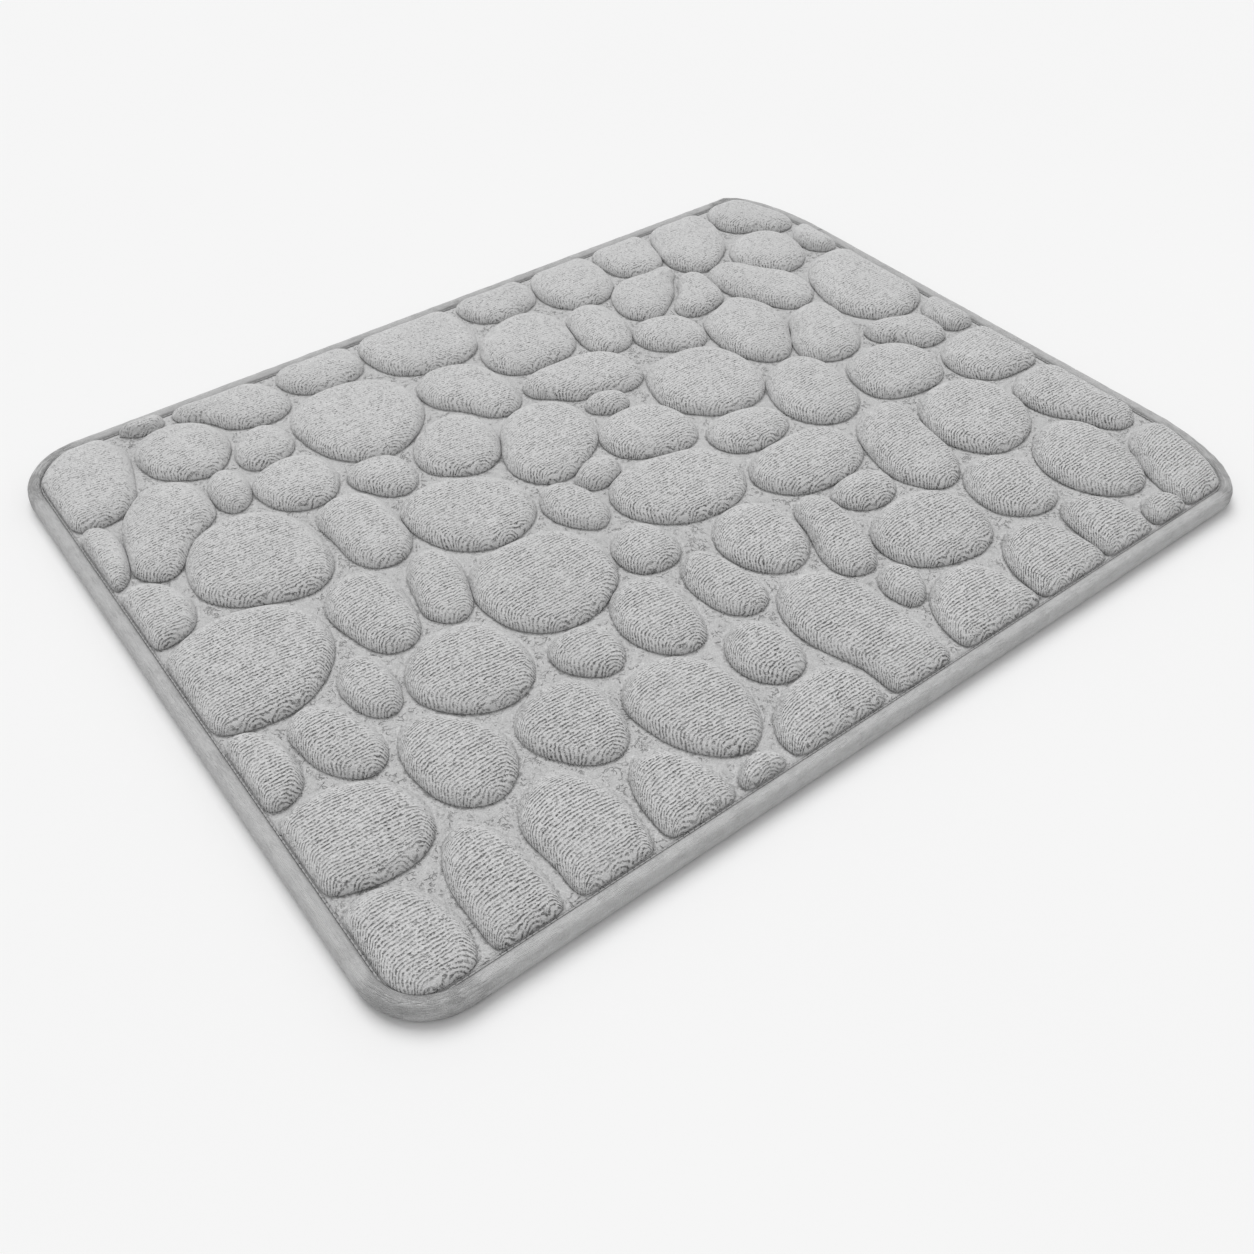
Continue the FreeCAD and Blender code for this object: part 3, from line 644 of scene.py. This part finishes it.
def make_backing():
    """Thin cloth sheet under the foam, very slightly uneven."""
    edge = mat_outline(BINDING_WALL, HIDDEN_SPACING)
    spacing = 7 * MM
    xs = np.arange(-HALF_X, HALF_X, spacing)
    ys = np.arange(-HALF_Y, HALF_Y, spacing)
    grid = np.array([(x, y) for y in ys for x in xs])
    grid = grid[inside(grid, edge * (1 - 0.5 * spacing / HALF_Y))]
    flat = np.vstack([edge, grid])
    links = [(i, (i + 1) % len(edge)) for i in range(len(edge))]
    found = geometry.delaunay_2d_cdt([Vector(p) for p in flat], links, [], 0, SAME_PLACE)
    corners = np.array([c[:] for c in found[0]])
    order = [source[0] for source in found[3]]     # every corner is one of the given points
    middles = np.array([corners[list(t)].mean(axis=0) for t in found[2]])
    triangles = [tuple(order[i] for i in t) for t, wanted in zip(found[2], inside(middles, edge))
                 if wanted]
    dimple = np.concatenate([np.zeros(len(edge)), 0.12 * MM * wander(grid, 30 * MM, 2.0)])
    low = np.column_stack([flat, BACKING_LOW[2] + 0.15 * MM + dimple])
    high = np.column_stack([flat, np.full(len(flat), BACKING_HIGH[2])])
    shift = len(flat)
    faces = [tuple(shift + i for i in t) for t in triangles]
    faces += [tuple(reversed(t)) for t in triangles]
    faces += wall_faces(len(edge), 0, shift)
    return new_mesh("backing_cloth_sheet", np.vstack([low, high]), faces)


def dot_centres():
    """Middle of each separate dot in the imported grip_dots node."""
    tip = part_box("grip_dots")[0][2] + 10 * TOUCHING
    lowest = [v.co.to_2d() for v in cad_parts["grip_dots"].data.vertices if v.co.z < tip]
    near = kdtree.KDTree(len(lowest))
    for k, p in enumerate(lowest):
        near.insert((p.x, p.y, 0), k)
    near.balance()
    seen, centres = set(), []
    for k, p in enumerate(lowest):
        if k not in seen:
            group = [i for _, i, _ in near.find_range((p.x, p.y, 0), DOT_REACH)]
            seen.update(group)
            centres.append(np.mean([lowest[i][:] for i in group], axis=0))
    centres = np.array(centres)
    return centres[inside(centres, mat_outline(SEAM_INSET + DOT_MARGIN, SEAM_SPACING))]


def make_dots():
    """Rounded blobs of PVC, each a little different."""
    low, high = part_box("grip_dots")
    top, tip = high[2] + 0.2 * MM, low[2]          # they start inside the backing
    # Radius in mm, and the share of the way to the tip at which the dot has it.
    profile = ((2.6, 0.0), (2.5, 0.35), (2.15, 0.7), (1.5, 0.92), (0.8, 1.0))
    sides, points, faces = 14, [], []
    generator = np.random.default_rng(9)
    for x, y in dot_centres():
        size = generator.uniform(0.93, 1.06)
        faces += tube_faces(len(points), len(profile), sides)
        for radius, share in profile:
            for side in range(sides):
                turn = 2 * math.pi * side / sides
                reach = radius * MM * size
                points.append((x + reach * math.cos(turn), y + reach * math.sin(turn),
                               top + (tip - top) * share))
    return new_mesh("grip_dot_blobs", points, faces)


def make_label():
    """Blank satin tape, caught in the binding seam at one end and waving a little."""
    low, high = (np.array(c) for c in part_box("care_label"))
    across, down = 14, 22
    points = []
    for side in (0, 1):
        for j in range(down + 1):
            for i in range(across + 1):
                x = low[0] + (high[0] - low[0]) * i / across
                y = high[1] - (high[1] - low[1]) * j / down
                loose = j / down
                wave = 0.12 * MM * loose * math.sin(5 * loose + 1.7 * i / across)
                z = (low[2] if side == 0 else high[2] - 0.05 * MM) - 0.1 * MM * loose + wave
                points.append((x, y, z))
    row = across + 1
    layer = row * (down + 1)
    faces = []
    for j in range(down):
        for i in range(across):
            a = j * row + i
            faces.append((a, a + 1, a + row + 1, a + row))
            faces.append(tuple(layer + v for v in (a, a + row, a + row + 1, a + 1)))
    rim = list(range(row)) + [row - 1 + row * j for j in range(1, down + 1)]
    rim += [row * down + i for i in reversed(range(across))]
    rim += [row * j for j in reversed(range(1, down))]
    faces += [(b, a, layer + a, layer + b) for a, b in zip(rim, rim[1:] + rim[:1])]
    return new_mesh("care_label_tape", points, faces)


# ---------------------------------------------------------------- materials

class Nodes:
    """Short-hand for building one material's node tree."""

    def __init__(self, name):
        self.material = bpy.data.materials.new(name)
        self.material.use_nodes = True
        self.tree = self.material.node_tree
        self.shader = self.tree.nodes["Principled BSDF"]

    def add(self, kind, **settings):
        node = self.tree.nodes.new(kind)
        for key, value in settings.items():
            setattr(node, key, value)
        return node

    def link(self, source, target):
        self.tree.links.new(source, target)

    def feed(self, socket, value):
        """Give the socket a number or another node's output."""
        if isinstance(value, (int, float)):
            socket.default_value = value
        else:
            self.link(value, socket)

    def math(self, operation, a, b=0.0, clamp=False):
        node = self.add("ShaderNodeMath", operation=operation, use_clamp=clamp)
        self.feed(node.inputs[0], a)
        self.feed(node.inputs[1], b)
        return node.outputs[0]

    def plus(self, a, b):
        return self.math("ADD", a, b)

    def minus(self, a, b):
        return self.math("SUBTRACT", a, b)

    def times(self, a, b, clamp=False):
        return self.math("MULTIPLY", a, b, clamp)

    def span(self, value, low, high, to_low=0.0, to_high=1.0):
        """The value carried over from the range low..high to the range to_low..to_high."""
        node = self.add("ShaderNodeMapRange")
        self.feed(node.inputs["Value"], value)
        for key, number in (("From Min", low), ("From Max", high),
                            ("To Min", to_low), ("To Max", to_high)):
            node.inputs[key].default_value = number
        return node.outputs["Result"]

    def attribute(self, name):
        """The values stored at the mesh's points under this name."""
        return self.add("ShaderNodeAttribute", attribute_name=name).outputs["Fac"]

    def place(self):
        """The place on the object, in metres."""
        return self.add("ShaderNodeTexCoord").outputs["Object"]

    def noise(self, scale, detail=2.0, vector=None, roughness=0.5):
        """Random value of 0 to 1, mostly near 0.5, that changes about scale times in a metre."""
        node = self.add("ShaderNodeTexNoise")
        node.inputs["Scale"].default_value = scale
        node.inputs["Detail"].default_value = detail
        node.inputs["Roughness"].default_value = roughness
        self.link(vector or self.place(), node.inputs["Vector"])
        return node.outputs["Fac"]

    def cells(self, scale):
        """Distance to the nearest of scattered points, scale of them to a metre."""
        node = self.add("ShaderNodeTexVoronoi")
        node.inputs["Scale"].default_value = scale
        self.link(self.place(), node.inputs["Vector"])
        return node.outputs["Distance"]

    def tint(self, shade, colour):
        """Base colour: the colour darkened or lightened by a shade that varies over the surface."""
        node = self.add("ShaderNodeVectorMath", operation="SCALE")
        node.inputs[0].default_value = colour[:3]
        self.feed(node.inputs["Scale"], shade)
        self.link(node.outputs[0], self.shader.inputs["Base Color"])

    def bump(self, height, distance):
        """Fine relief: the height, from 0 to 1, stands for this distance in metres."""
        node = self.add("ShaderNodeBump")
        node.inputs["Distance"].default_value = distance
        self.link(height, node.inputs["Height"])
        self.link(node.outputs["Normal"], self.shader.inputs["Normal"])

    def cloth(self, roughness, sheen, gloss=0.25):
        """Soft surface with a sheen of fibres."""
        self.shader.inputs["Roughness"].default_value = roughness
        self.shader.inputs["Sheen Weight"].default_value = sheen
        self.shader.inputs["Sheen Roughness"].default_value = 0.45
        self.shader.inputs["Specular IOR Level"].default_value = gloss


def ridge_grooves(n, grain):
    """Narrow grooves between the ridges of pile, for relief and for painted shade in them.  They
    break into dashes, and where the ridges show least clearly only specks of them are left."""
    turn = n.times(n.attribute("row"), 2 * math.pi / RIDGE_PITCH)
    turn = n.plus(turn, n.times(n.minus(n.noise(330, 3, roughness=0.62), 0.5), 6.5))
    groove = n.span(n.math("SINE", turn), 0.1, -0.9)
    least = n.span(grain, 0.0, 1.0, 0.54, 0.33)
    dashes = n.times(n.minus(n.noise(560, 2, roughness=0.6), least), 5.0, clamp=True)
    patches = n.span(n.noise(60, 2), 0.32, 0.66, 0.6, 1.1)
    beads = n.span(n.noise(950, 1), 0.38, 0.60, 0.3, 1.25)
    groove = n.times(n.times(groove, dashes), n.times(patches, beads))
    return n.times(groove, n.span(grain, 0.05, 0.9, 0.22, 1.0))


def pile_pits(n, grain):
    """Small pits here and there in the pile."""
    pit = n.times(n.span(n.cells(640), 0.38, 0.08), n.span(n.noise(220, 1), 0.44, 0.6))
    return n.times(pit, n.span(grain, 0.0, 0.5, 0.25, 1.0))


def ground_pulls(n, ground):
    """Fine crossing pulls, which the backing of the pile shows between the stones."""
    swirl = n.add("ShaderNodeTexNoise")
    swirl.inputs["Scale"].default_value = 150
    n.link(n.place(), swirl.inputs["Vector"])
    bent = n.add("ShaderNodeVectorMath", operation="MULTIPLY_ADD")
    n.link(swirl.outputs["Color"], bent.inputs[0])
    bent.inputs[1].default_value = (0.012, 0.012, 0.012)
    n.link(n.place(), bent.inputs[2])
    web = n.add("ShaderNodeTexVoronoi", feature="DISTANCE_TO_EDGE")
    web.inputs["Scale"].default_value = 300
    n.link(bent.outputs[0], web.inputs["Vector"])
    pull = n.times(n.span(web.outputs["Distance"], 0.12, 0.0), ground)
    pull = n.times(pull, n.span(n.noise(110, 1), 0.38, 0.58))
    return n.times(pull, n.span(n.noise(420, 1), 0.44, 0.56))


def fleece_material():
    """Coral fleece: ridges of pile, painted shade in the grooves, pits and creases round the stones,
    and a soft fibre fuzz.
    """
    n = Nodes("coral_fleece")
    grain = n.attribute("grain")
    ground = n.span(grain, 3 * GROUND_GRAIN, GROUND_GRAIN)
    groove, pit, pull = ridge_grooves(n, grain), pile_pits(n, grain), ground_pulls(n, ground)
    fuzz = n.noise(1500, 3, roughness=0.7)
    height = n.minus(n.times(fuzz, 0.42), n.times(groove, 0.85))
    height = n.minus(n.minus(height, n.times(pit, 0.6)), n.times(pull, 0.7))
    n.bump(height, 1.0 * MM)

    # Painted shade: the grooves, pits, ground pulls and the ground between the stones darken the
    # colour.
    shade = n.minus(1.0, n.times(groove, 0.60))
    for part, darker in ((pit, 0.34), (pull, 0.30), (ground, 0.07)):
        shade = n.minus(shade, n.times(part, darker))
    # Painted shade round the stones' feet and painted light on their near walls, broken up by noise;
    # the smooth far shoulders are toned down slightly.
    ragged = n.times(n.minus(n.noise(430, 3, roughness=0.65), 0.5), 2.4)
    painted_shading = n.plus(n.attribute("painted_shading"), ragged)
    for part, low, high, shade_low, shade_high in (
            (grain, 0.0, 0.6, 0.96, 1.0), (painted_shading, -1.0, 1.0, 1.14, 0.86),
            (fuzz, 0.38, 0.62, 0.84, 1.10), (n.noise(28, 2), 0.3, 0.7, 0.97, 1.03)):
        shade = n.times(shade, n.span(part, low, high, shade_low, shade_high))
    n.tint(shade, grey(FLEECE_GREY))
    n.cloth(0.95, 0.30)
    return n.material


def knit_material(name, colour):
    """Smooth fine knit for the binding: tiny rows, fine lengthwise pulls with painted shade in them,
    and a faint mottle; painted shade at the inner lip and near the floor.
    """
    n = Nodes(name)
    along, across = n.attribute("along"), n.attribute("across")
    rows = n.math("SINE", n.times(along, 2 * math.pi / (0.9 * MM)))
    stripe = n.math("SINE", n.times(across, 2 * math.pi / (0.7 * MM)))
    weave = n.times(n.plus(rows, stripe), 0.12)
    long_grained = n.add("ShaderNodeCombineXYZ")
    n.feed(long_grained.inputs[0], n.times(along, 0.16))
    n.feed(long_grained.inputs[1], across)
    n.feed(long_grained.inputs[2], n.times(along, 0.05))
    pulls = n.span(n.noise(1050, 3, vector=long_grained.outputs[0], roughness=0.6), 0.34, 0.66)
    pulls = n.times(pulls, n.span(n.noise(90, 2), 0.35, 0.65, 0.5, 1.6))
    pulls = n.times(pulls, n.span(n.attribute("bend"), 0.0, 1.0, 0.45, 1.5))
    fuzz = n.noise(1600, 3, roughness=0.7)
    n.bump(n.plus(n.plus(weave, n.times(fuzz, 0.9)), n.times(pulls, 0.9)), 0.6 * MM)
    # Painted shade: the pulls darken the colour, most in the corners, and the stored values darken
    # the lip and the side near the floor.
    shade = n.times(n.span(pulls, 0.0, 0.8, 1.03, 0.80), n.span(fuzz, 0.3, 0.7, 0.90, 1.08))
    shade = n.times(shade, n.span(n.attribute("painted_shading"), 0.0, 1.0, 1.0, 0.5))
    n.tint(shade, colour)
    n.cloth(0.85, 0.15)
    return n.material


def woven_material(name, colour, pitch, depth, sheen=0.1):
    """Plain weave seen from close up."""
    n = Nodes(name)
    split = n.add("ShaderNodeSeparateXYZ")
    n.link(n.place(), split.inputs[0])
    warp, weft = (n.math("SINE", n.times(split.outputs[k], 2 * math.pi / pitch)) for k in (0, 1))
    over = n.times(warp, weft)
    slub = n.noise(180, 2)
    n.bump(n.plus(n.times(over, 0.5), slub), depth)
    n.tint(n.times(n.span(over, -1, 1, 0.86, 1.05), n.span(slub, 0.3, 0.7, 0.95, 1.05)), colour)
    n.cloth(0.9, sheen)
    return n.material


def foam_material():
    """Open-cell foam, cream coloured."""
    n = Nodes("open_cell_foam")
    cell = n.cells(900)
    n.bump(cell, 0.4 * MM)
    n.tint(n.span(cell, 0.0, 0.6, 0.78, 1.05), FOAM_COLOUR)
    n.cloth(0.95, 0.0)
    return n.material


def pvc_material():
    """Soft matt plastic."""
    n = Nodes("soft_pvc")
    mottle = n.noise(260, 3)
    n.bump(mottle, 0.12 * MM)
    n.tint(n.span(mottle, 0.3, 0.7, 0.92, 1.06), grey(DOT_GREY))
    n.shader.inputs["Roughness"].default_value = 0.42
    n.shader.inputs["Specular IOR Level"].default_value = 0.45
    return n.material


def thread_material():
    """Twisted polyester thread."""
    n = Nodes("sewing_thread")
    twist = n.add("ShaderNodeTexWave", wave_type="BANDS", bands_direction="DIAGONAL")
    twist.inputs["Scale"].default_value = 900
    n.link(n.place(), twist.inputs["Vector"])
    n.bump(twist.outputs["Fac"], 0.1 * MM)
    n.tint(n.span(twist.outputs["Fac"], 0, 1, 0.85, 1.05), grey(THREAD_GREY))
    n.cloth(0.6, 0.1, 0.4)
    return n.material


def floor_material():
    """Plain studio paper."""
    n = Nodes("studio_floor")
    n.tint(n.span(n.noise(3, 2), 0.2, 0.8, 0.995, 1.005), grey(FLOOR_GREY))
    n.shader.inputs["Roughness"].default_value = 0.9
    n.shader.inputs["Specular IOR Level"].default_value = 0.1
    return n.material


# ---------------------------------------------------------------- assembly

def finish_piece(obj, node, material):
    """Give the piece its material, attach it to the root body and hide the CAD node that it replaces.
    """
    obj.data.materials.append(material)
    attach(obj, "root")
    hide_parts(node)
    return obj


fleece = finish_piece(make_fleece(), "fleece_face", fleece_material())
foam = finish_piece(make_foam(), "memory_foam_core", foam_material())
backing = finish_piece(make_backing(), "backing_cloth",
                       woven_material("backing_weave", grey(BACKING_GREY), 1.1 * MM, 0.25 * MM))
finish_piece(make_dots(), "grip_dots", pvc_material())
binding = finish_piece(make_binding(), "edge_binding",
                       knit_material("binding_knit", grey(BINDING_GREY)))
thread = thread_material()
finish_piece(
    make_stitches("needle_stitches", SEAM_INSET + 0.45 * MM, THREAD_LOW[2] + 0.08 * MM, 0.15 * MM),
    "needle_thread", thread)
finish_piece(
    make_stitches("bobbin_stitches", SEAM_INSET + 0.35 * MM, BOBBIN_HEIGHT, -0.35 * MM),
    "bobbin_thread", thread)
label = finish_piece(make_label(), "care_label",
                     woven_material("label_satin", grey(LABEL_GREY), 0.5 * MM, 0.06 * MM, 0.3))


# ---------------------------------------------------------------- floor, light, camera

floor_corners = [(x, y, 0) for x, y in ((-FLOOR_HALF, -FLOOR_HALF), (FLOOR_HALF, -FLOOR_HALF),
                                        (FLOOR_HALF, FLOOR_HALF), (-FLOOR_HALF, FLOOR_HALF))]
floor = new_mesh("studio_floor", floor_corners, [(0, 1, 2, 3)], smooth=False)
floor.location.z = BINDING_LOW[2] - FLOOR_GAP
floor.data.materials.append(floor_material())

world = bpy.data.worlds.new("studio")
world.use_nodes = True
world.node_tree.nodes["Background"].inputs["Color"].default_value = (1, 1, 1, 1)
world.node_tree.nodes["Background"].inputs["Strength"].default_value = SKY_STRENGTH
bpy.context.scene.world = world

lamp = bpy.data.lights.new("key_light", "SUN")
lamp.energy = SUN_STRENGTH
lamp.angle = SUN_SPREAD
light = bpy.data.objects.new("key_light", lamp)
light.rotation_euler = Vector(SUN_FROM).to_track_quat("Z", "Y").to_euler()
bpy.context.scene.collection.objects.link(light)

camera = bpy.data.objects.new("camera", bpy.data.cameras.new("camera"))
camera.data.lens = LENS
camera.data.sensor_width = LENS
camera.data.clip_start = 0.01
back = Vector((math.sin(CAMERA_AZIMUTH) * math.cos(CAMERA_ELEVATION),
               -math.cos(CAMERA_AZIMUTH) * math.cos(CAMERA_ELEVATION), math.sin(CAMERA_ELEVATION)))
right = (-back).cross(Vector((0, 0, 1))).normalized()
up = right.cross(-back)
right, up = (right * math.cos(CAMERA_ROLL) + up * math.sin(CAMERA_ROLL),
             up * math.cos(CAMERA_ROLL) - right * math.sin(CAMERA_ROLL))
camera.matrix_world = Matrix.Translation(CAMERA_TARGET + back * CAMERA_DISTANCE) @ Matrix(
    (right, up, back)).transposed().to_4x4()
bpy.context.scene.collection.objects.link(camera)
bpy.context.scene.camera = camera
bpy.context.scene.view_settings.view_transform = "Standard"
